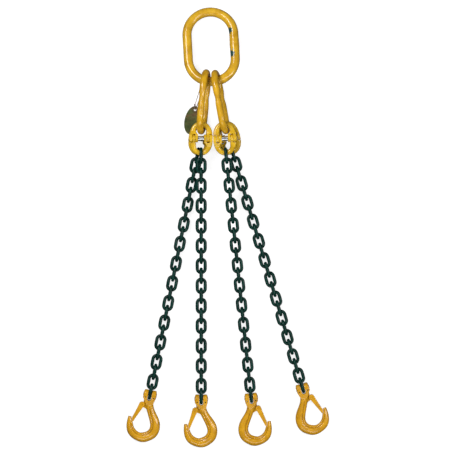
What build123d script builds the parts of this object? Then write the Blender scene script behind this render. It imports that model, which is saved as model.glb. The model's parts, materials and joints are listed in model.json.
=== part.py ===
from build123d import *

import os
from math import asin, cos, degrees, radians, sin

# Four leg chain sling of 8 mm short-link chain, laid out flat on a floor with its legs fanned out.
# Millimetres and degrees. The origin is the seat at the crown of the master link, +Y points along
# the pull of the crane hook, so the legs run towards -Y, and +Z is up from the floor.

# ---- driving dimensions -------------------------------------------------------------------

# Master link and the two intermediate links
master_wire = 22
master_inner_width = 90
master_inner_length = 150
master_lean = 3.4  # turned in the floor plane
sub_wire = 16
sub_inner_width = 60
sub_inner_length = 124
sub_roll = 7  # each intermediate link stands on edge and leans by this much
sub_places = {"left": (-15.2, -5.2), "right": (12.0, 10.4)}  # angle on the master's bend, turn

# Clearances
seat_gap = 0.3  # between rings that hang in each other
pin_gap = 0.06  # radial, of every pin in its hole
eye_slack = 0.95  # between an intermediate link and the eyes on its sloping bend

# Connecting link between an intermediate link and a leg
coupling_width = 55.2
coupling_bar = 11.5  # in the plane of the eye
coupling_bar_thickness = 9.8
coupling_reach = 29.5  # from the load pin to the bearing of each eye
coupling_eye_radius = 12
coupling_pin = 8.5
coupling_sleeve = 11.6
lug_thickness = 19
lug_inside = 7.3  # from the middle to the inner lug of the fork
slot_inside = 13.3
slot_outside = 20.3
tongue_slack = 0.25  # each side of the tongue
lug_turn_radius = 10.1  # the arms start outside this radius about the pin
coupling_spread = 11.0  # each side of the middle of the intermediate link
coupling_dips = {1: -1.5, -1: 5.5}  # of an upper and a lower coupling's upper half

# Chain
chain_wire = 8
chain_pitch = 24
chain_inner_width = 11
links_per_leg = 25
sections = {"upper": (1, 8), "middle": (9, 17), "lower": (18, 25)}

# Hook
hook_pin = 9
ear_gap = 9.2
ear_width = 31
ear_radius = 11.2
ear_bevel = 2.4
hook_throat = 93.5  # from the load pin to the seat of the bowl
bowl_lowest = hook_throat + 5  # from the load pin to the part of the bowl that rests on the floor
bowl_gap = 0.4  # between the bowl and the floor
hook_bowl_half = 9.6  # half the thickness of the bowl
latch_pivot = (-14.6, -26.8)
latch_pin_diameter = 4
latch_sheet = 1.8
latch_half = 5.6  # half the width of the latch across its cheeks
lug_half = 1.4  # half the thickness of the hook's lug between the cheeks
roll_pin = 3  # locks the load pin in each ear
roll_pin_places = [(side * (ear_gap + ear_width) / 4, -hook_pin / 2 - 2.2) for side in (-1, 1)]

# Identification tag
tag_length = 69
tag_width = 38
tag_sheet = 1.5
tag_hole = 6
tag_wire = 1.6

# leg: (intermediate link, tier, turn of its connecting link, turn of its chain, hook tip side)
# Legs 2 and 3 leave the upper side of their intermediate link, legs 1 and 4 the lower side.
legs = {
    1: ("left", -1, -8.5, -11.2, -1),
    2: ("left", 1, 0.0, 0.0, -1),
    3: ("right", 1, 3.5, 5.9, 1),
    4: ("right", -1, 14.5, 16.55, 1),
}
steep_links = {1: 25, -1: 8}  # links over which an upper or a lower leg comes down to the floor

# ---- places -------------------------------------------------------------------------------

sub_bend = (sub_inner_width + sub_wire) / 2
sub_lift = sub_wire / 2 + sub_bend * cos(radians(sub_roll)) + 1.0  # of its middle above the floor
master_rise = degrees(asin((sub_lift - master_wire / 2) / (master_inner_length + master_wire)))
floor = -master_wire / 2 * (1 + sin(radians(master_rise)))
link_outer = chain_inner_width + 2 * chain_wire
link_span = chain_pitch + seat_gap + chain_wire  # between the wire centres of a link's two bends
rest_height = floor + link_outer / 2 + 0.2  # a chain's axis where it lies on the floor


def heading(turn, dip=0):
    """Direction of a piece that runs down its leg, turned from -Y towards +X and dipped below level."""
    t, d = radians(turn), radians(dip)
    return Vector(sin(t) * cos(d), -cos(t) * cos(d), -sin(d))


def seat(point, turn, dip=0, roll=0):
    """Plane at a point whose -Y runs along a heading, rolled about it. Roll 0 lies face up."""
    along = heading(turn, dip)
    side = Vector(cos(radians(turn)), sin(radians(turn)), 0)
    up = side.cross(along * -1)
    across = side * cos(radians(roll)) + up * sin(radians(roll))
    return Plane(origin=point, x_dir=across, z_dir=across.cross(along * -1))


# Master link: its crown lies on the floor and its foot rests in the two intermediate links
master_bend = (master_inner_width + master_wire) / 2
master_half = (master_inner_length - master_inner_width) / 2
crown_centre = heading(0, -master_rise) * (master_inner_width / 2)
master_centre = crown_centre + heading(master_lean, -master_rise) * master_half
master_place = seat(master_centre, master_lean, -master_rise)

sub_seats = {}
for side, (bend_angle, turn) in sub_places.items():
    on_bend = Vector(sin(radians(bend_angle - master_lean)), -cos(radians(bend_angle - master_lean)), 0)
    bar = master_place.from_local_coords(Vector(0, -master_half, 0) + on_bend * master_bend)
    tangent = (master_place.from_local_coords(Vector(-on_bend.Y, on_bend.X, 0)) - master_centre).normalized()
    place = seat(bar, turn, 0, 90 + sub_roll)
    normal = tangent.cross(place.x_dir).normalized()
    apart = (master_wire + sub_wire) / 2 + seat_gap
    bend_top = bar - heading(turn) * (apart / abs(normal.dot(heading(turn))))
    centre = bend_top + heading(turn) * ((sub_inner_length + sub_wire) / 2)
    sub_seats[side] = {
        "bar": bar,
        "tangent": tangent,
        "turn": turn,
        "place": seat(centre, turn, 0, 90 + sub_roll),
        "bend": centre + heading(turn) * ((sub_inner_length - sub_inner_width) / 2),
    }


def chain_seats(first, turn, dips):
    """Top bend of each link, its bottom bend and its dip, down a leg whose dips are given."""
    tops, feet = [first], []
    for number, dip in enumerate(dips, start=1):
        feet.append(tops[-1] + heading(turn, dip) * link_span)
        edge_on = number % 2 == 1
        following = dips[number] if number < len(dips) else dip
        back = dip if edge_on else following
        tops.append(feet[-1] - heading(turn, back) * (chain_wire + seat_gap))
    return tops, feet


def leg_layout(number):
    """Every place on one leg: its connecting link, its 25 links and its hook."""
    side, tier, coupling_turn, chain_turn, tip = legs[number]
    sub = sub_seats[side]
    ring = sub["place"]
    locus = sub_inner_width / 2 - coupling_bar / 2 - eye_slack
    lift = asin(tier * coupling_spread / locus)
    along = heading(sub["turn"])
    eye = sub["bend"] + along * (locus * cos(lift)) + ring.x_dir * (locus * sin(lift))
    wire = sub["bend"] + along * (sub_bend * cos(lift)) + ring.x_dir * (sub_bend * sin(lift))
    wire_axis = (ring.x_dir * cos(lift) - along * sin(lift)).normalized()
    dip = coupling_dips[tier]
    pin = eye + heading(coupling_turn, dip) * (coupling_reach + coupling_bar / 2)

    def lay(start):
        steep = steep_links[tier]
        dips = [start * max(0, 1 - link / steep) for link in range(1, links_per_leg + 1)]
        bar = pin + heading(coupling_turn, start) * (coupling_reach + coupling_bar / 2)
        first = bar - heading(coupling_turn, dips[0]) * ((coupling_bar + chain_wire) / 2 + seat_gap)
        return dips, *chain_seats(first, chain_turn, dips)

    low, high = 0, 30
    for _ in range(40):
        start = (low + high) / 2
        dips, tops, feet = lay(start)
        low, high = (low, start) if feet[-1].Z < rest_height else (start, high)
    hook_at = feet[-1] - heading(chain_turn) * ((chain_wire + hook_pin) / 2 + seat_gap)
    hook_dip = degrees(asin((hook_at.Z - floor - hook_bowl_half - bowl_gap) / bowl_lowest))
    return {
        "side": side,
        "tier": tier,
        "tip": tip,
        "coupling_turn": coupling_turn,
        "turn": chain_turn,
        "wire": wire,
        "wire_axis": wire_axis,
        "pin": pin,
        "coupling_dip": dip,
        "start": start,
        "dips": dips,
        "tops": tops,
        "feet": feet,
        "hook": hook_at,
        "hook_dip": hook_dip,
    }


layouts = {number: leg_layout(number) for number in legs}


def write_node(name, piece, *places):
    """Put one or more copies of a piece in their places and write them as one node."""
    with BuildPart() as node:
        with Locations(*places):
            add(piece)
    node.part.label = name
    export_step(node.part, f"parts/{name}.step")


# ---- rings and links ----------------------------------------------------------------------


def ring(inner_width, inner_length, wire):
    """An oval welded ring about its centre, its long axis along Y, in the XY plane."""
    bend = (inner_width + wire) / 2
    half = (inner_length - inner_width) / 2
    with BuildPart() as oval:
        with BuildLine():
            Line((bend, -half), (bend, half))
            CenterArc((0, half), bend, 0, 180)
            Line((-bend, half), (-bend, -half))
            CenterArc((0, -half), bend, 180, 180)
        with BuildSketch(Plane(origin=(bend, -half, 0), x_dir=(1, 0, 0), z_dir=(0, 1, 0))):
            Circle(wire / 2)
        sweep()
    return oval.part


# ---- connecting link ----------------------------------------------------------------------


def coupling_half():
    """One forged half: an eye towards -Y, a fork at +X and a tongue at -X, about the load pin on X."""
    outside = coupling_width / 2
    half_bar = coupling_bar_thickness / 2
    eye_y = coupling_eye_radius - coupling_reach
    shoulder = -lug_turn_radius
    with BuildPart() as half:
        with BuildSketch():
            with Locations((0, -8)):
                Ellipse(outside - 0.5, coupling_reach + coupling_bar - 8)
            with Locations((0, eye_y)):
                Circle(coupling_eye_radius, mode=Mode.SUBTRACT)
                Rectangle(2 * coupling_eye_radius, 60, align=(Align.CENTER, Align.MIN), mode=Mode.SUBTRACT)
            with Locations((0, shoulder)):
                Rectangle(80, 60, align=(Align.CENTER, Align.MIN), mode=Mode.SUBTRACT)
        extrude(amount=half_bar, both=True)
        rims = half.faces().filter_by(Axis.Z).edges().filter_by(lambda e: e.center().Y < shoulder - 0.5)
        fillet(rims, radius=half_bar - 0.5)

    # The fork, thick where the pin passes and drawn down to the thickness of the eye
    with BuildPart() as fork:
        with BuildSketch():
            with BuildLine():
                Polyline(
                    (lug_inside, lug_thickness / 2), (outside, lug_thickness / 2), (outside, -8),
                    (outside - 3.4, -21), (coupling_eye_radius + 3, -23), (coupling_eye_radius, -14.5),
                    (lug_inside, -9.5), (lug_inside, lug_thickness / 2),
                )
            make_face()
        extrude(amount=lug_thickness / 2, both=True)
        with BuildSketch(Plane.YZ):
            Circle(lug_thickness / 2)
            with BuildLine():
                Polyline(
                    (0, lug_thickness / 2), (-7, lug_thickness / 2), (-20, half_bar - 0.6),
                    (-20, -half_bar + 0.6), (-7, -lug_thickness / 2), (0, -lug_thickness / 2), (0, lug_thickness / 2),
                )
            make_face()
        extrude(amount=outside + 1, mode=Mode.INTERSECT)
        chamfer(fork.faces().sort_by(Axis.X)[-1].edges(), 0.5)
        with BuildSketch():
            with Locations(((slot_inside + slot_outside) / 2, shoulder)):
                Rectangle(slot_outside - slot_inside, 40, align=(Align.CENTER, Align.MIN))
        extrude(amount=lug_thickness, both=True, mode=Mode.SUBTRACT)

    # The tongue, which the other half's fork takes
    tongue_width = slot_outside - slot_inside - 2 * tongue_slack
    tongue_middle = -(slot_inside + slot_outside) / 2
    with BuildPart() as tongue:
        with BuildSketch(Plane.YZ.offset(tongue_middle - tongue_width / 2)):
            Circle(lug_thickness / 2 - 0.6)
            Rectangle(14, 2 * half_bar - 1, align=(Align.MAX, Align.CENTER))
        extrude(amount=tongue_width)

    with BuildPart() as whole:
        add(half.part)
        add(fork.part)
        add(tongue.part)
        with BuildSketch(Plane.YZ.offset(-outside - 2)):
            Circle(coupling_pin / 2 + pin_gap)
        extrude(amount=coupling_width + 4, mode=Mode.SUBTRACT)
    return whole.part


def coupling_load_pin():
    """The load pin, along X, with chamfered ends and a waist that the sleeve locks into."""
    length = coupling_width - 3
    with BuildPart() as pin:
        with BuildSketch(Plane.YZ.offset(-length / 2)):
            Circle(coupling_pin / 2)
        extrude(amount=length)
        chamfer(pin.edges(), 0.8)
    return pin.part


def retaining_sleeve():
    """The sleeve in the middle of the load pin."""
    length = 2 * lug_inside - 0.4
    with BuildPart() as sleeve:
        with BuildSketch(Plane.YZ.offset(-length / 2)):
            Circle(coupling_sleeve / 2)
            Circle(coupling_pin / 2 + pin_gap, mode=Mode.SUBTRACT)
        extrude(amount=length)
        rims = sleeve.edges().filter_by(GeomType.CIRCLE)
        chamfer(rims.filter_by(lambda e: e.radius > coupling_pin / 2 + 1), 0.5)
    return sleeve.part


# ---- hook ---------------------------------------------------------------------------------

# Sections of the hook from its neck round the bowl to the tip, with the load pin at the origin
# and the tip at -X: x, y, direction of the section's run, width in the plane, thickness.
hook_sections = [
    (1.5, -17.0, -90, 21.5, 17.5),
    (4.5, -28.0, -72, 18.5, 16.5),
    (10.5, -40.0, -62, 18.5, 16.0),
    (18.5, -53.0, -63, 21.5, 17.0),
    (26.0, -70.0, -82, 23.6, 18.6),
    (25.0, -86.0, -113, 24.2, 19.2),
    (13.0, -99.5, -148, 23.4, 19.2),
    (-3.5, -104.6, -180, 22.2, 18.4),
    (-20.2, -99.6, -216, 20.4, 17.2),
    (-31.0, -88.0, -241, 18.0, 15.8),
    (-34.4, -76.0, -267, 15.0, 14.2),
    (-36.2, -67.0, -272, 11.0, 12.2),
    (-37.3, -60.0, -272, 8.2, 9.6),
]


def hook_body():
    """The forged hook: clevis ears, shank, bowl and tip, and the lug that carries the latch."""
    crotch = -14.4
    with BuildPart() as bowl:
        for x, y, direction, width, thickness in hook_sections:
            run = Vector(cos(radians(direction)), sin(radians(direction)), 0)
            with BuildSketch(Plane(origin=(x, y, 0), x_dir=(0, 0, 1), z_dir=run)):
                Ellipse(thickness / 2, width / 2)
        loft()

    with BuildPart() as clevis:
        with BuildSketch(Plane.YZ.offset(-ear_width / 2)):
            Circle(ear_radius)
            with BuildLine():
                Polyline((0, ear_radius), (-8, ear_radius), (-24, 8.4), (-24, -8.4), (-8, -ear_radius),
                         (0, -ear_radius), (0, ear_radius))
            make_face()
        extrude(amount=ear_width)
        chamfer(clevis.faces().sort_by(Axis.X)[-1].edges(), ear_bevel)
        chamfer(clevis.faces().sort_by(Axis.X)[0].edges(), ear_bevel)
        with BuildSketch():
            with BuildLine():
                Polyline((-13, 14), (13, 14), (15.5, 5), (15.5, -8), (12.0, -20), (11.5, -26), (-4, -26),
                         (-9, -17), (-15.5, -8), (-15.5, 5), (-13, 14))
            make_face()
        extrude(amount=30, both=True, mode=Mode.INTERSECT)
        with BuildSketch():
            with Locations((0, crotch + ear_gap / 2)):
                Circle(ear_gap / 2)
                Rectangle(ear_gap, 60, align=(Align.CENTER, Align.MIN))
        extrude(amount=30, both=True, mode=Mode.SUBTRACT)

    with BuildPart() as lug:
        with BuildSketch():
            with BuildLine():
                Polyline((-12, -14), (2, -17), (6, -44), (1, -37), (-12, -32), (-12, -14))
            make_face()
            with Locations(latch_pivot):
                Circle(4.3)
        extrude(amount=lug_half, both=True)

    with BuildPart() as body:
        add(bowl.part)
        add(clevis.part)
        add(lug.part)
        with BuildSketch(Plane.YZ.offset(-ear_width)):
            Circle(hook_pin / 2 + pin_gap)
        extrude(amount=2 * ear_width, mode=Mode.SUBTRACT)
        with BuildSketch():
            with Locations(latch_pivot):
                Circle(latch_pin_diameter / 2 + pin_gap)
        extrude(amount=20, both=True, mode=Mode.SUBTRACT)
        # Room for the cheeks of the latch beside the lug
        for face in (-1, 1):
            with BuildSketch(Plane.XY.offset(face * lug_half)):
                with Locations(latch_pivot):
                    Circle(7.6)
            extrude(amount=face * 12, mode=Mode.SUBTRACT)
        # Landing for the end of the latch, on the inside of the tip
        with BuildSketch():
            with BuildLine():
                Polyline((-34.0, -56), (-32.6, -62.5), (-31.2, -71.8), (-28.4, -72.9), (-20, -72.9), (-20, -56),
                         (-34.0, -56))
            make_face()
        extrude(amount=20, both=True, mode=Mode.SUBTRACT)
        # Holes for the two roll pins that lock the load pin
        with BuildSketch():
            with Locations(*roll_pin_places):
                Circle(roll_pin / 2)
        extrude(amount=30, both=True, mode=Mode.SUBTRACT)
    return body.part



def hook_load_pin():
    """The load pin in the clevis, along X, with rounded ends that show at the ears."""
    length = ear_width + 1.6
    with BuildPart() as pin:
        with BuildSketch(Plane.YZ.offset(-length / 2)):
            Circle(hook_pin / 2)
        extrude(amount=length)
        fillet(pin.edges(), 0.9)
    return pin.part


def roll_pins():
    """Two slotted roll pins, one through each ear just below the load pin."""
    length = 21
    with BuildPart() as pins:
        with BuildSketch(Plane.XY.offset(-length / 2)):
            with Locations(*roll_pin_places):
                Circle(roll_pin / 2)
                Circle(roll_pin / 2 - 0.6, mode=Mode.SUBTRACT)
                Rectangle(0.6, roll_pin, align=(Align.CENTER, Align.MIN), mode=Mode.SUBTRACT)
        extrude(amount=length)
    return pins.part


def latch_shell():
    """The safety latch: a pressed channel whose web faces outwards and whose cheeks hold the pin."""
    with BuildPart() as latch:
        with BuildSketch():
            with BuildLine():
                Polyline((-20.8, -24), (-23.8, -36), (-28.0, -50), (-32.0, -62.5), (-30.6, -71.2), (-28.4, -72.0),
                         (-26.4, -68.5), (-20.8, -55.5), (-15.4, -43.5), (-9.4, -30), (-20.8, -24))
            make_face()
            with Locations(latch_pivot):
                Circle(6.6)
        extrude(amount=latch_half, both=True)
        # The hollow between the cheeks, open towards the bowl
        with BuildSketch():
            with BuildLine():
                Polyline((-19.2, -18), (-19.2, -27), (-22.2, -37), (-26.4, -51), (-30.2, -63), (-29.6, -68),
                         (-20, -68), (6, -40), (6, -18), (-19.2, -18))
            make_face()
        extrude(amount=latch_half - latch_sheet, both=True, mode=Mode.SUBTRACT)
        with BuildSketch():
            with Locations(latch_pivot):
                Circle(latch_pin_diameter / 2 + pin_gap)
        extrude(amount=20, both=True, mode=Mode.SUBTRACT)
    return latch.part


def latch_pin():
    """The pin that the latch turns on, headed at both ends."""
    length = 2 * latch_half + 2
    with BuildPart() as pin:
        with BuildSketch(Plane.XY.offset(-length / 2)):
            with Locations(latch_pivot):
                Circle(latch_pin_diameter / 2)
        extrude(amount=length)
        chamfer(pin.edges(), 0.4)
    return pin.part


def latch_spring():
    """The torsion spring on the latch pin: one coil each side of the lug."""
    wire, height = 0.8, 1.1
    coil = latch_pin_diameter / 2 + 1.2
    with BuildPart() as spring:
        for start in (lug_half + 0.6, -lug_half - 0.6 - height):
            with BuildLine(Plane(origin=(*latch_pivot, start))):
                turns = Helix(pitch=0.95, height=height, radius=coil)
            with BuildSketch(Plane(origin=turns @ 0, z_dir=turns % 0)):
                Circle(wire / 2)
            sweep()
    return spring.part


# ---- identification tag -------------------------------------------------------------------

tag_turn = -13.8
hole_centre = Vector(-36.8, -223.1, floor + 5.8)
hole_edge = 8.8  # from the hole's centre to the end of the plate
tag_dip = degrees(asin((hole_centre.Z - floor - tag_sheet / 2 - 0.3) / (tag_length - hole_edge)))
tag_place = seat(hole_centre, tag_turn, tag_dip)
wire_loop_angle = radians(28)  # of the loop round the bend of the left intermediate link
wire_loop_half = 10.3  # half the width of the loop
crimp_length = 6
crimp_radius = 1.8
crimp_centre = hole_centre + Vector(-0.4, 10.8, 4.3)
crimp_run = Vector(-0.05, 0.98, 0.15).normalized()


def tag_plate():
    """An oval sheet plate with a hole near one end, about the hole's centre."""
    with BuildPart() as plate:
        with BuildSketch(Plane.XY.offset(-tag_sheet / 2)):
            with Locations((0, hole_edge - tag_length / 2)):
                Ellipse(tag_width / 2, tag_length / 2)
            Circle(tag_hole / 2, mode=Mode.SUBTRACT)
        extrude(amount=tag_sheet)
        chamfer(plate.edges().filter_by(lambda e: e.length > 3 * tag_hole), 0.3)
    return plate.part


def tag_wire_loop():
    """The steel wire that ties the plate to the left intermediate link, from its crimp round to its crimp."""
    ring = sub_seats["left"]["place"]
    inwards = ring.x_dir * cos(wire_loop_angle) - ring.y_dir * sin(wire_loop_angle)
    half_length = (sub_inner_length - sub_inner_width) / 2
    bar = ring.from_local_coords(Vector(0, half_length, 0)) - inwards * sub_bend
    left = ring.z_dir * (1 if ring.z_dir.X < 0 else -1) * wire_loop_half
    up = inwards * wire_loop_half
    hole = hole_centre
    with BuildPart() as loop:
        with BuildLine():
            path = FilletPolyline(
                crimp_centre + crimp_run * (crimp_length / 2 - 0.5),
                hole + Vector(2.2, 19, 3.6),
                bar + left * 1.5 + up * 0.6 + Vector(0, -10, 0),
                bar + left * 0.9 + up,
                bar - left + up,
                bar - left - up,
                bar + left * 0.9 - up * 0.95,
                bar + left * 1.2 - up * 0.6 + Vector(0, -22, 0),
                hole + Vector(5.5, 11.5, -2.4),
                hole + Vector(2.2, 5.0, -4.2),
                hole + Vector(0.4, 0.6, -3.4),
                hole + Vector(-0.5, 0.6, 2.2),
                crimp_centre - crimp_run * (crimp_length / 2 - 0.5),
                radius=[9, 6, 4, 5, 5, 4, 6, 9, 2, 1, 1],
            )
        with BuildSketch(Plane(origin=path @ 0, z_dir=path % 0)):
            Circle(tag_wire / 2)
        sweep(path=path)
    return loop.part


def tag_crimp():
    """The crimped sleeve that holds both ends of the wire."""
    with BuildPart() as crimp:
        with BuildSketch(Plane(origin=crimp_centre - crimp_run * (crimp_length / 2), z_dir=crimp_run)):
            Circle(crimp_radius)
            Circle(tag_wire / 2 + 0.45, mode=Mode.SUBTRACT)
        extrude(amount=crimp_length)
    return crimp.part


# ---- the sling ----------------------------------------------------------------------------


def main():
    os.makedirs("parts", exist_ok=True)

    write_node("master_link", ring(master_inner_width, master_inner_length, master_wire), master_place)
    sub_link = ring(sub_inner_width, sub_inner_length, sub_wire)
    for side, sub in sub_seats.items():
        write_node(f"sub_link_{side}", sub_link, sub["place"])

    half = coupling_half()
    pin = coupling_load_pin()
    sleeve = retaining_sleeve()
    link = ring(chain_inner_width, chain_pitch + seat_gap, chain_wire)
    hook = {
        "body": hook_body(),
        "load_pin": hook_load_pin(),
        "retaining_pins": roll_pins(),
        "latch": latch_shell(),
        "latch_pin": latch_pin(),
        "latch_spring": latch_spring(),
    }
    for number, leg in layouts.items():
        flip = 0 if leg["tip"] < 0 else 180
        turn, start = leg["coupling_turn"], leg["start"]
        level = seat(leg["pin"], turn, leg["coupling_dip"], flip)
        dipped = seat(leg["pin"], turn, start, flip)
        reversed_level = Plane(origin=level.origin, x_dir=level.x_dir * -1, z_dir=level.z_dir)
        write_node(f"coupling_{number}_upper_half", half, reversed_level)
        write_node(f"coupling_{number}_lower_half", half, dipped)
        write_node(f"coupling_{number}_load_pin", pin, level)
        write_node(f"coupling_{number}_sleeve", sleeve, level)
        for section, (first, last) in sections.items():
            places = []
            for k in range(first, last + 1):
                top, dip = leg["tops"][k - 1], leg["dips"][k - 1]
                middle = top + heading(leg["turn"], dip) * (link_span / 2)
                places.append(seat(middle, leg["turn"], dip, 90 if k % 2 else 0))
            write_node(f"chain_{number}_{section}", link, *places)
        hook_place = seat(leg["hook"], leg["turn"], leg["hook_dip"], flip)
        for name, piece in hook.items():
            write_node(f"hook_{number}_{name}", piece, hook_place)

    write_node("tag_plate", tag_plate(), tag_place)
    write_node("tag_wire", tag_wire_loop(), Plane.XY)
    write_node("tag_crimp", tag_crimp(), Plane.XY)


main()
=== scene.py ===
"""Four leg chain sling: the looks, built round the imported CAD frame. Metres, same frame as the CAD."""

import json
import math

import bpy
import numpy as np
from mathutils import Matrix, Vector


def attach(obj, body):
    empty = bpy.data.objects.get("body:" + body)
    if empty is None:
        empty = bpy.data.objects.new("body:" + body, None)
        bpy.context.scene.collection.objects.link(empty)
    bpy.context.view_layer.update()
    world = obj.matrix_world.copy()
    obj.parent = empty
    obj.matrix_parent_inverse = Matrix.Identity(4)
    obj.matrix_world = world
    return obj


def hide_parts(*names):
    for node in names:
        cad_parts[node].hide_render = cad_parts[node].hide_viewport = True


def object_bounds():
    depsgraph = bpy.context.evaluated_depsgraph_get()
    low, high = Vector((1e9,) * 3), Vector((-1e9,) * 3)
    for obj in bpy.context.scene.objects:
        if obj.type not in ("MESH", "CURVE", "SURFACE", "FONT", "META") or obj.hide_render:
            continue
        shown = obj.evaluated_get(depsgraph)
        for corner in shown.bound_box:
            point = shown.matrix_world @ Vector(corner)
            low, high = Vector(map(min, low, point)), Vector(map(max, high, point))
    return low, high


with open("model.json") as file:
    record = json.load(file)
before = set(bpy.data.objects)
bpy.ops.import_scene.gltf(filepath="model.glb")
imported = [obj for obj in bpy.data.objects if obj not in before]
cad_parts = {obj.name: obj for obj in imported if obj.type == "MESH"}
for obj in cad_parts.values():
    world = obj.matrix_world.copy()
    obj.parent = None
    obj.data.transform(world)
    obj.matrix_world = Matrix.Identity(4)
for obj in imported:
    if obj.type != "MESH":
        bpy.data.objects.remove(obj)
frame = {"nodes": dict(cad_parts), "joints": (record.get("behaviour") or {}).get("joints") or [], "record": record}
cad_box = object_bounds()

MM = 0.001
LEGS = (1, 2, 3, 4)
nodes = frame["nodes"]
joints = {joint["name"]: joint for joint in frame["joints"]}

# ---- materials ----------------------------------------------------------------------------


# The chain's paint where it has rubbed off on a ring, thin and thick
SMEAR_COLOURS = [(0.3, (0.004, 0.03, 0.024)), (0.7, (0.03, 0.09, 0.075))]


class Recipe:
    """A material with one Principled shader and short calls that add its texture nodes."""

    def __init__(self, name, roughness, metallic=0.0, coat=0.0, coat_roughness=0.1):
        self.material = bpy.data.materials.new(name)
        self.material.use_nodes = True
        self.tree = self.material.node_tree
        self.shader = self.tree.nodes["Principled BSDF"]
        self.shader.inputs["Roughness"].default_value = roughness
        self.shader.inputs["Metallic"].default_value = metallic
        self.shader.inputs["Coat Weight"].default_value = coat
        self.shader.inputs["Coat Roughness"].default_value = coat_roughness
        self.place = self.tree.nodes.new("ShaderNodeTexCoord").outputs["Object"]

    def link(self, start, end):
        self.tree.links.new(start, end)

    def noise(self, scale, detail=3.0, rough=0.5, stretch=None):
        """Noise of about 1 / scale metres a feature."""
        place = self.place
        if stretch:
            mapping = self.tree.nodes.new("ShaderNodeMapping")
            mapping.inputs["Scale"].default_value = stretch
            self.link(place, mapping.inputs["Vector"])
            place = mapping.outputs["Vector"]
        node = self.tree.nodes.new("ShaderNodeTexNoise")
        node.inputs["Scale"].default_value = scale
        node.inputs["Detail"].default_value = detail
        node.inputs["Roughness"].default_value = rough
        self.link(place, node.inputs["Vector"])
        return node.outputs["Fac"]

    def ramp(self, value, stops):
        """Colours over a value: stops are (position, colour)."""
        node = self.tree.nodes.new("ShaderNodeValToRGB")
        elements = node.color_ramp.elements
        while len(elements) < len(stops):
            elements.new(0.5)
        for element, (position, colour) in zip(elements, stops):
            element.position = position
            element.color = (*colour, 1.0)
        self.link(value, node.inputs["Fac"])
        return node.outputs["Color"]

    def mix(self, factor, first, second):
        node = self.tree.nodes.new("ShaderNodeMix")
        node.data_type = "RGBA"
        self.link(factor, node.inputs["Factor"])
        self.link(first, node.inputs["A"])
        self.link(second, node.inputs["B"])
        return node.outputs["Result"]

    def spread(self, value, low, high, out_low, out_high):
        node = self.tree.nodes.new("ShaderNodeMapRange")
        node.inputs["From Min"].default_value = low
        node.inputs["From Max"].default_value = high
        node.inputs["To Min"].default_value = out_low
        node.inputs["To Max"].default_value = out_high
        self.link(value, node.inputs["Value"])
        return node.outputs["Result"]

    def smear(self, place, reach):
        """1 in a ragged patch about a place, and 0 outside it."""
        distance = self.tree.nodes.new("ShaderNodeVectorMath")
        distance.operation = "DISTANCE"
        self.link(self.place, distance.inputs[0])
        distance.inputs[1].default_value = place
        ragged = self.tree.nodes.new("ShaderNodeMath")
        ragged.operation = "MULTIPLY"
        self.link(distance.outputs["Value"], ragged.inputs[0])
        self.link(self.spread(self.noise(260, 4, 0.7), 0.3, 0.7, 0.5, 1.6), ragged.inputs[1])
        return self.spread(ragged.outputs["Value"], 0.75 * reach, reach, 1.0, 0.0)

    def edges(self, low, high):
        """How sharply the surface turns outwards, from 0 in the hollows to 1 on the ridges."""
        geometry = self.tree.nodes.new("ShaderNodeNewGeometry")
        return self.spread(geometry.outputs["Pointiness"], low, high, 0.0, 1.0)

    def colour(self, output):
        self.link(output, self.shader.inputs["Base Color"])

    def roughness(self, output):
        self.link(output, self.shader.inputs["Roughness"])

    def bump(self, height, strength, distance):
        node = self.tree.nodes.new("ShaderNodeBump")
        node.inputs["Strength"].default_value = strength
        node.inputs["Distance"].default_value = distance
        self.link(height, node.inputs["Height"])
        self.link(node.outputs["Normal"], self.shader.inputs["Normal"])


def enamel(name, deep, body, bright, roughness, smears=()):
    """Thick gloss paint over a forged surface, in random patches of its yellows, with painted shade darkening the
    hollows and creases.

    smears are places, in metres, where paint of the chain has rubbed off on it.
    """
    paint = Recipe(name, roughness, coat=0.5, coat_roughness=0.1)
    paint.shader.inputs["Specular IOR Level"].default_value = 0.3
    grain = paint.noise(55, 4)
    patches = paint.ramp(grain, [(0.3, deep), (0.5, body), (0.75, bright)])
    # painted shade: a much darker copy of the deepest yellow, laid where the pointiness is low, in the hollows and
    # creases
    painted_crease_shade = paint.ramp(grain, [(0.3, [0.3 * part for part in deep]), (0.7, [0.5 * part for part in deep])])
    colour = paint.mix(paint.edges(0.44, 0.495), painted_crease_shade, patches)
    for place, reach in smears:
        colour = paint.mix(paint.smear(place, reach), colour, paint.ramp(grain, SMEAR_COLOURS))
    paint.colour(colour)
    paint.roughness(paint.spread(paint.noise(140, 3), 0.3, 0.7, roughness * 0.75, roughness * 1.35))
    paint.bump(paint.noise(170, 4, 0.55), 0.22, 0.6 * MM)
    return paint.material


def chain_coat():
    """Dark blue-green paint, thin and uneven over the forged links, a little paler where they rub."""
    paint = Recipe("chain_coat", 0.34)
    paint.shader.inputs["Specular IOR Level"].default_value = 0.16
    dark, sea, pale = (0.0004, 0.014, 0.0105), (0.0012, 0.028, 0.0205), (0.009, 0.055, 0.042)
    patches = paint.ramp(paint.noise(90, 5, 0.6), [(0.3, dark), (0.52, sea), (0.8, pale)])
    paint.colour(patches)
    paint.roughness(paint.spread(paint.noise(260, 3), 0.3, 0.7, 0.24, 0.5))
    paint.bump(paint.noise(420, 4, 0.6), 0.3, 0.4 * MM)
    return paint.material


def plated_steel(name, roughness, light, dark):
    """Zinc plated steel, turned, with a faint grain."""
    steel = Recipe(name, roughness, metallic=1.0)
    steel.colour(steel.ramp(steel.noise(160, 4), [(0.3, dark), (0.7, light)]))
    along_x = (0.1, 1.0, 1.0)
    grain = steel.noise(700, 2, stretch=along_x)
    steel.roughness(steel.spread(grain, 0.2, 0.8, roughness * 0.7, roughness * 1.4))
    steel.bump(steel.noise(900, 2, stretch=along_x), 0.12, 0.1 * MM)
    return steel.material


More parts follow.
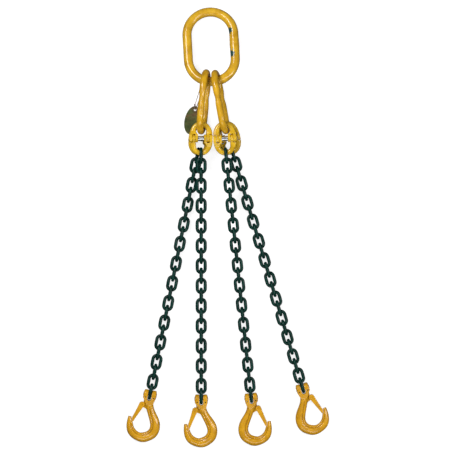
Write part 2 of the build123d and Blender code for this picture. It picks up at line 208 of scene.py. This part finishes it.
def tag_coat():
    """Dark olive paint on the plate, with brown blotches at random that are painted reflection."""
    paint = Recipe("tag_coat", 0.45)
    paint.shader.inputs["Specular IOR Level"].default_value = 0.2
    olive = paint.ramp(paint.noise(70, 4), [(0.3, (0.035, 0.055, 0.012)), (0.7, (0.10, 0.12, 0.035))])
    # painted reflection: a brown laid over the olive paint in random blotches
    reflection_brown = paint.ramp(paint.noise(190, 4), [(0.3, (0.06, 0.03, 0.012)), (0.7, (0.15, 0.085, 0.035))])
    paint.colour(paint.mix(paint.spread(paint.noise(38, 5, 0.65), 0.53, 0.66, 0.0, 1.0), olive, reflection_brown))
    paint.roughness(paint.spread(paint.noise(120, 3), 0.3, 0.7, 0.35, 0.6))
    paint.bump(paint.noise(240, 4), 0.35, 0.3 * MM)
    return paint.material


# Two places on the inside of the master link's right side
MASTER_SMEARS = [((0.0475, -0.0345, 0.0135), 0.0088), ((0.0525, -0.0900, 0.0250), 0.0100)]
# Each yellow: its paint where it is deepest (a darker copy of it is the painted shade in the hollows), over most
# of the surface and where it is thinnest
MASTER_YELLOWS = (0.505, 0.268, 0.012), (0.645, 0.364, 0.018), (0.75, 0.45, 0.028)
RING_YELLOWS = (0.485, 0.25, 0.008), (0.64, 0.352, 0.012), (0.74, 0.43, 0.020)
HOOK_YELLOWS = (0.49, 0.235, 0.006), (0.615, 0.303, 0.008), (0.70, 0.36, 0.012)
COUPLING_YELLOWS = (0.50, 0.29, 0.008), (0.66, 0.40, 0.014), (0.75, 0.48, 0.026)

master_enamel = enamel("master_enamel", *MASTER_YELLOWS, 0.2, MASTER_SMEARS)
materials = {
    "yellow_paint": enamel("ring_enamel", *RING_YELLOWS, 0.22),
    "hook_paint": enamel("hook_enamel", *HOOK_YELLOWS, 0.28),
    "coupling_paint": enamel("coupling_enamel", *COUPLING_YELLOWS, 0.24),
    "chain_paint": chain_coat(),
    "bright_steel": plated_steel("zinc_plate", 0.28, (0.74, 0.77, 0.79), (0.52, 0.55, 0.57)),
    "dark_steel": plated_steel("black_steel", 0.5, (0.10, 0.07, 0.04), (0.05, 0.035, 0.02)),
    "tag_paint": tag_coat(),
    "tag_wire": plated_steel("annealed_wire", 0.42, (0.34, 0.24, 0.20), (0.20, 0.13, 0.11)),
}
slot_of = {part["node"]: part["material_slot"] for part in frame["record"]["subparts"]}


def finish_with(piece, slot):
    piece.data.materials.clear()
    piece.data.materials.append(materials[slot])


# ---- helpers for pieces -------------------------------------------------------------------


def islands(mesh):
    """The vertex places of each loose solid in a mesh, as arrays."""
    ends = np.zeros(len(mesh.edges) * 2, int)
    mesh.edges.foreach_get("vertices", ends)
    places = np.zeros(len(mesh.vertices) * 3)
    mesh.vertices.foreach_get("co", places)
    places = places.reshape(-1, 3)
    keys, twin = np.unique(np.round(places, 6), axis=0, return_inverse=True)
    root = list(range(len(keys)))

    def find(i):
        while root[i] != i:
            root[i] = root[root[i]]
            i = root[i]
        return i

    twin = twin.ravel()
    for a, b in ends.reshape(-1, 2):
        root[find(twin[a])] = find(twin[b])
    group = np.array([find(i) for i in twin])
    return [places[group == g] for g in sorted(set(group), key=lambda g: -places[group == g][:, 1].mean())]


def oval_frame(places):
    """The turn, the middle and the (width, length, thickness) of an oval ring, from its own points."""
    _, _, axes = np.linalg.svd(places - places.mean(0), full_matrices=False)
    axes = sorted(axes, key=lambda axis: -np.ptp(places @ axis))
    length, width, thick = (Vector(axis) for axis in axes)
    if length.y < 0:
        length.negate()
    thick = width.cross(length)
    stands_on_edge = abs(thick.z) <= 0.3
    faces_away = thick.x > 0 if stands_on_edge else thick.z < 0
    if faces_away:
        width.negate()
        thick.negate()
    sizes = [float(np.ptp(places @ np.array(axis))) for axis in (width, length, thick)]
    middle = Vector()
    for axis in (width, length, thick):
        reach = places @ np.array(axis)
        middle += axis * (float(reach.max() + reach.min()) / 2)
    return Matrix((width, length, thick)).transposed().to_4x4(), middle, sizes


def oval_ring(sizes, around, section, shape):
    """Vertices and faces of a welded ring. shape(side, run, turn) gives (out, up) factors of the wire."""
    width, length, wire = sizes
    radius = wire / 2
    bend = width / 2 - radius
    half = (length - width) / 2
    perimeter = 2 * math.pi * bend + 4 * half
    points, faces = [], []
    for i in range(around):
        s = perimeter * i / around
        if s < 2 * half:
            centre, out, side, run = Vector((bend, s - half, 0)), Vector((1, 0, 0)), 1, s - half
        elif s < 2 * half + math.pi * bend:
            angle = (s - 2 * half) / bend
            out = Vector((math.cos(angle), math.sin(angle), 0))
            centre, side, run = Vector((0, half, 0)) + out * bend, 2, angle
        elif s < 4 * half + math.pi * bend:
            back = s - 2 * half - math.pi * bend
            centre, out, side, run = Vector((-bend, half - back, 0)), Vector((-1, 0, 0)), -1, half - back
        else:
            angle = math.pi + (s - 4 * half - math.pi * bend) / bend
            out = Vector((math.cos(angle), math.sin(angle), 0))
            centre, side, run = Vector((0, -half, 0)) + out * bend, -2, angle
        for j in range(section):
            turn = 2 * math.pi * j / section
            outward, upward = shape(side, run, turn)
            rise = Vector((0, 0, radius * upward * math.sin(turn)))
            points.append(centre + out * (radius * outward * math.cos(turn)) + rise)
            here, there = i * section, (i + 1) % around * section
            following = (j + 1) % section
            faces.append((here + j, there + j, there + following, here + following))
    return points, faces


def piece_from(name, points, faces, body, slot, replaced):
    """A smooth shaded piece that rides on a body and stands for CAD nodes."""
    mesh = bpy.data.meshes.new(name)
    mesh.from_pydata(points, [], faces)
    mesh.validate()
    piece = bpy.data.objects.new(name, mesh)
    bpy.context.scene.collection.objects.link(piece)
    mesh.polygons.foreach_set("use_smooth", [True] * len(mesh.polygons))
    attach(piece, body)
    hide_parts(*replaced)
    finish_with(piece, slot)
    return piece


def body_named(node):
    return next(b for b, members in frame["record"]["behaviour"]["bodies"].items() if node in members)


# ---- rings and links ----------------------------------------------------------------------

# Points round a ring or a chain link, and round its wire
RING_STEPS, RING_SIDES = 180, 40
LINK_STEPS, LINK_SIDES = 48, 16


def swell(run, at, half_width):
    """A smooth bump of height 1 that is centred at one place along a side."""
    return math.exp(-(((run - at) / half_width) ** 2))


def master_shape(side, run, turn):
    """The weld upset stands proud on one long side, with the ripples of its trimming on it."""
    if side != 1:
        return 1, 1
    bump = 0.05 * swell(run, 2 * MM, 12 * MM)
    beat = math.sin(run / MM * 0.55) * math.sin(2 * turn + run / MM * 0.1)
    ripple = 0.022 * swell(run, 2 * MM, 22 * MM) * beat
    return 1 + bump + ripple, 1 + bump + ripple


def sub_shape(side, run, turn):
    """Both long sides are pressed flatter over a short stretch above their middle."""
    flat = 0.0
    if abs(side) == 1:
        flat = swell(run, 9 * MM, 10 * MM)
    return 1 - 0.06 * flat, 1 - 0.2 * flat


def link_shape(side, run, turn):
    """A chain link's straight sides are a little fuller than its bends, most of all at the weld."""
    if abs(side) != 1:
        return 1, 1
    full = 0.09 * swell(run, 0, 6.5 * MM)
    weld = 0.05 * swell(run, 0, 2.4 * MM) if side == -1 else 0.0
    return 1 + 0.2 * full + weld, 1 + full + weld


def make_rings():
    shapes = {"master_link": master_shape, "sub_link_left": sub_shape, "sub_link_right": sub_shape}
    for node, shape in shapes.items():
        turned, middle, sizes = oval_frame(islands(nodes[node].data)[0])
        points, faces = oval_ring(sizes, RING_STEPS, RING_SIDES, shape)
        points = [turned @ point + middle for point in points]
        piece = piece_from(f"{node}_forged", points, faces, body_named(node), slot_of[node], [node])
        if node == "master_link":
            piece.data.materials[0] = master_enamel


def make_chains():
    for leg in LEGS:
        for section in ("upper", "middle", "lower"):
            node = f"chain_{leg}_{section}"
            points, faces = [], []
            for solid in islands(nodes[node].data):
                turned, middle, sizes = oval_frame(solid)
                ring_points, ring_faces = oval_ring(sizes, LINK_STEPS, LINK_SIDES, link_shape)
                start = len(points)
                points += [turned @ point + middle for point in ring_points]
                faces += [tuple(start + corner for corner in face) for face in ring_faces]
            piece_from(f"{node}_links", points, faces, body_named(node), "chain_paint", [node])


# ---- forged pieces ------------------------------------------------------------------------


def soften(node, voxel, rounds, shape=None):
    """A forged version of a CAD node: its edges are rounded by remeshing and smoothing."""
    source = nodes[node]
    work = bpy.data.objects.new(f"{node}_work", source.data.copy())
    bpy.context.scene.collection.objects.link(work)
    weld = work.modifiers.new("weld", "WELD")
    weld.merge_threshold = 0.002 * MM
    remesh = work.modifiers.new("remesh", "REMESH")
    remesh.mode = "VOXEL"
    remesh.voxel_size = voxel
    smooth = work.modifiers.new("smooth", "SMOOTH")
    smooth.factor = 0.5
    smooth.iterations = rounds
    bpy.context.view_layer.update()
    graph = bpy.context.evaluated_depsgraph_get()
    mesh = bpy.data.meshes.new_from_object(work.evaluated_get(graph))
    bpy.data.objects.remove(work)
    if shape:
        places = np.zeros(len(mesh.vertices) * 3)
        mesh.vertices.foreach_get("co", places)
        places = shape(places.reshape(-1, 3))
        mesh.vertices.foreach_set("co", places.ravel())
    piece = bpy.data.objects.new(f"{node}_forged", mesh)
    bpy.context.scene.collection.objects.link(piece)
    mesh.polygons.foreach_set("use_smooth", [True] * len(mesh.polygons))
    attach(piece, body_named(node))
    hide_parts(node)
    finish_with(piece, slot_of[node])
    return piece


def hook_frame(leg):
    """The hook's own frame: the load pin at the origin, the tip at -X, the bowl at -Y."""
    swing, latch = joints[f"hook_{leg}_swing"], joints[f"hook_{leg}_latch_turn"]
    origin, pivot = Vector(swing["pos_m"]), Vector(latch["pos_m"])
    up = Vector(latch["axis"]).normalized()
    side = Vector(swing["axis"]).normalized()
    if (pivot - origin).dot(side) > 0:
        side.negate()
    side = (side - up * side.dot(up)).normalized()
    return Matrix((side, up.cross(side), up)).transposed(), origin


# The line of the groove that parts the inner bead of a hook from its wide outer band, millimetres
# from the load pin: down the shank, round the bowl and up to the tip.
GROOVE = [(3.0, -24.0), (7.0, -37.0), (13.6, -52.0), (19.8, -66.0), (21.0, -78.0), (16.2, -89.0),
          (6.5, -96.6), (-4.5, -98.8), (-16.0, -96.4), (-25.6, -88.4), (-31.4, -77.0), (-33.5, -70.0)]
GROOVE_STEPS = 8  # straight pieces between two corners, and over which an end of the groove fades
GROOVE_DEPTH, GROOVE_WIDTH = 2.3, 1.45
GROOVE_FACE = 5.0  # how far from the hook's middle plane its faces take the whole depth


def smooth_line(corners, steps):
    """Points on a Catmull-Rom curve through the corners."""
    line = []
    ends = [corners[0], *corners, corners[-1]]
    for a, b, c, d in zip(ends, ends[1:], ends[2:], ends[3:]):
        a, b, c, d = (np.array(point) for point in (a, b, c, d))
        for step in range(steps):
            t = step / steps
            line.append(0.5 * (2 * b + (c - a) * t + (2 * a - 5 * b + 4 * c - d) * t * t
                               + (3 * b - a - 3 * c + d) * t ** 3))
    line.append(np.array(corners[-1]))
    return np.array(line)


def carve_hook(leg):
    """Press the groove into both faces of one hook."""
    turned, origin = hook_frame(leg)
    axes = np.array(turned)
    start = np.array(origin)
    line = smooth_line(GROOVE, GROOVE_STEPS)
    spans = np.diff(line, axis=0)

    def shape(places):
        local = (places - start) @ axes / MM
        away = local[:, None, :2] - line[:-1]
        along = np.clip((away * spans).sum(2) / (spans ** 2).sum(1), 0, 1)
        near = ((away - along[..., None] * spans) ** 2).sum(2)
        closest = near.argmin(1)
        run = closest + np.take_along_axis(along, closest[:, None], 1)[:, 0]
        fade = np.minimum(1, np.minimum(run, len(spans) - run) / GROOVE_STEPS)
        depth = GROOVE_DEPTH * fade * np.exp(-near.min(1) / GROOVE_WIDTH ** 2)
        facing = np.clip(np.abs(local[:, 2]) / GROOVE_FACE, 0, 1)
        local[:, 2] -= np.sign(local[:, 2]) * depth * facing
        return local * MM @ axes.T + start

    return shape


def make_forgings():
    for leg in LEGS:
        for half in ("upper", "lower"):
            soften(f"coupling_{leg}_{half}_half", 0.75 * MM, 4)
        soften(f"hook_{leg}_body", 0.7 * MM, 4, carve_hook(leg))
        soften(f"hook_{leg}_latch", 0.5 * MM, 3)


# ---- scene --------------------------------------------------------------------------------

# The frame of the picture in metres at the level of the sling, and the point it is centred on
PICTURE_WIDTH = 1.1008
PICTURE_CENTRE = (0.0469, -0.5110)
LENS, SENSOR = 250.0, 36.0
SLING_LEVEL = 14 * MM  # over the lowest point of the sling


def make_camera():
    data = bpy.data.cameras.new("camera")
    data.lens = LENS
    data.sensor_width = SENSOR
    camera = bpy.data.objects.new("camera", data)
    bpy.context.scene.collection.objects.link(camera)
    level = cad_box[0][2] + SLING_LEVEL
    camera.location = (*PICTURE_CENTRE, level + PICTURE_WIDTH * LENS / SENSOR)
    data.clip_end = 100
    bpy.context.scene.camera = camera


def make_floor():
    """A pale floor that the sling lies on."""
    size = 6.0
    z = cad_box[0][2] - 0.2 * MM
    mesh = bpy.data.meshes.new("floor")
    corners = [(-size, -size, z), (size, -size, z), (size, size, z), (-size, size, z)]
    mesh.from_pydata(corners, [], [(0, 1, 2, 3)])
    floor = bpy.data.objects.new("floor", mesh)
    bpy.context.scene.collection.objects.link(floor)
    surface = Recipe("pale_floor", 0.9)
    surface.shader.inputs["Base Color"].default_value = (0.36, 0.36, 0.36, 1)
    surface.shader.inputs["Specular IOR Level"].default_value = 0.0
    surface.shader.inputs["Emission Color"].default_value = (1, 1, 1, 1)
    surface.shader.inputs["Emission Strength"].default_value = 0.82
    mesh.materials.append(surface.material)
    floor.visible_diffuse = False
    floor.visible_glossy = False


def area_light(name, place, aim, size, power):
    data = bpy.data.lights.new(name, "AREA")
    data.shape = "RECTANGLE"
    data.size, data.size_y = size
    data.energy = power
    light = bpy.data.objects.new(name, data)
    bpy.context.scene.collection.objects.link(light)
    light.location = place
    light.rotation_euler = (Vector(aim) - Vector(place)).to_track_quat("-Z", "Y").to_euler()


def make_lights():
    x, y = PICTURE_CENTRE
    area_light("key", (x - 1.0, y + 1.0, 1.9), (x, y, 0), (0.7, 1.4), 42)
    area_light("fill", (x + 1.3, y - 0.1, 1.8), (x, y, 0), (0.5, 1.8), 24)
    area_light("foot", (x, y - 1.7, 1.6), (x, y, 0), (1.8, 0.5), 14)
    world = bpy.data.worlds.new("studio")
    world.use_nodes = True
    world.node_tree.nodes["Background"].inputs["Color"].default_value = (1, 1, 1, 1)
    world.node_tree.nodes["Background"].inputs["Strength"].default_value = 0.1
    bpy.context.scene.world = world
    bpy.context.scene.view_settings.view_transform = "Standard"


make_camera()
make_floor()
make_lights()
for node_name, node_object in nodes.items():
    finish_with(node_object, slot_of[node_name])
make_rings()
make_chains()
make_forgings()
